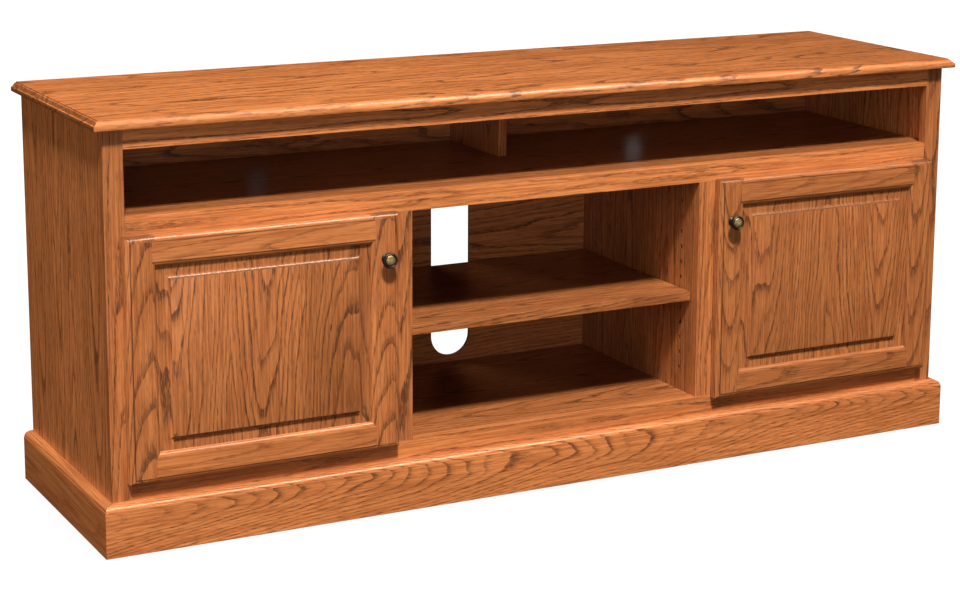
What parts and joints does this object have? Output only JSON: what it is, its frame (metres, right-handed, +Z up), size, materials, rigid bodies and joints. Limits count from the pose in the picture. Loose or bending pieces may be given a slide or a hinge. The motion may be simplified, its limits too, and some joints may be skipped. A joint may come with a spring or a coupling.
{
  "type": "media cabinet",
  "caption": "Long low oak media cabinet on a moulded plinth, with an open device bay under the top, an open centre with an adjustable shelf, and a raised-panel door at each end.",
  "frame": {"origin": "on the floor, at the middle of the whole object's length and depth, knobs included", "axes": "+X along the length to the right as seen from the front, +Y to the back, +Z up; the doors face -Y"},
  "size_m": [1.829, 0.537, 0.78],
  "materials": {
    "oak": "medium stain under satin lacquer",
    "oak_deck": "medium stain under gloss lacquer",
    "oak_back": "medium stain under satin lacquer",
    "bare_wood": "sanded, unfinished",
    "steel": "nickel plated",
    "brass": "antiqued, darkened in the recesses"
  },
  "bodies": {
    "carcass": {"top_slab": "oak", "left_side": "oak", "right_side": "oak", "left_partition": "oak", "right_partition": "oak", "upper_deck": "oak_deck", "bottom_deck": "oak_deck", "upper_divider": "oak", "back_panel": "oak_back", "left_stile": "oak", "right_stile": "oak", "left_mullion": "oak", "right_mullion": "oak", "top_rail": "oak", "mid_rail": "oak", "bottom_rail": "oak", "plinth_front": "oak", "plinth_left": "oak", "plinth_right": "oak", "top_cleat_front": "bare_wood", "top_cleat_rear": "bare_wood", "rear_foot_rail": "bare_wood", "centre_foot": "bare_wood", "left_corner_block": "bare_wood", "right_corner_block": "bare_wood", "centre_shelf": "oak", "centre_shelf_wire_left": "steel", "centre_shelf_wire_right": "steel", "left_shelf": "oak", "left_shelf_wire_left": "steel", "left_shelf_wire_right": "steel", "right_shelf": "oak", "right_shelf_wire_left": "steel", "right_shelf_wire_right": "steel", "left_lower_hinge_plate": "steel", "left_upper_hinge_plate": "steel", "right_lower_hinge_plate": "steel", "right_upper_hinge_plate": "steel"},
    "left_hinge_links": {"left_lower_hinge_link": "steel", "left_upper_hinge_link": "steel"},
    "left_door": {"left_door_hinge_stile": "oak", "left_door_lock_stile": "oak", "left_door_top_rail": "oak", "left_door_bottom_rail": "oak", "left_door_panel": "oak", "left_knob": "brass", "left_knob_screw": "steel", "left_lower_hinge_cup": "steel", "left_upper_hinge_cup": "steel"},
    "right_hinge_links": {"right_lower_hinge_link": "steel", "right_upper_hinge_link": "steel"},
    "right_door": {"right_door_hinge_stile": "oak", "right_door_lock_stile": "oak", "right_door_top_rail": "oak", "right_door_bottom_rail": "oak", "right_door_panel": "oak", "right_knob": "brass", "right_knob_screw": "steel", "right_lower_hinge_cup": "steel", "right_upper_hinge_cup": "steel"}
  },
  "joints": [
    {"name": "left_door_swing", "type": "hinge", "parent": "carcass", "child": "left_door", "pos_m": [-0.867, -0.233, 0.3505], "axis": [0, 0, -1], "range_deg": [0, 105]},
    {"name": "left_link_swing", "type": "hinge", "parent": "carcass", "child": "left_hinge_links", "pos_m": [-0.867, -0.233, 0.3505], "axis": [0, 0, -1], "range_deg": [0, 52.5]},
    {"name": "right_door_swing", "type": "hinge", "parent": "carcass", "child": "right_door", "pos_m": [0.867, -0.233, 0.3505], "axis": [0, 0, 1], "range_deg": [0, 105]},
    {"name": "right_link_swing", "type": "hinge", "parent": "carcass", "child": "right_hinge_links", "pos_m": [0.867, -0.233, 0.3505], "axis": [0, 0, 1], "range_deg": [0, 52.5]}
  ],
  "couplings": [
    {"joint": "left_link_swing", "follows": "left_door_swing", "ratio": 0.5},
    {"joint": "right_link_swing", "follows": "right_door_swing", "ratio": 0.5}
  ]
}
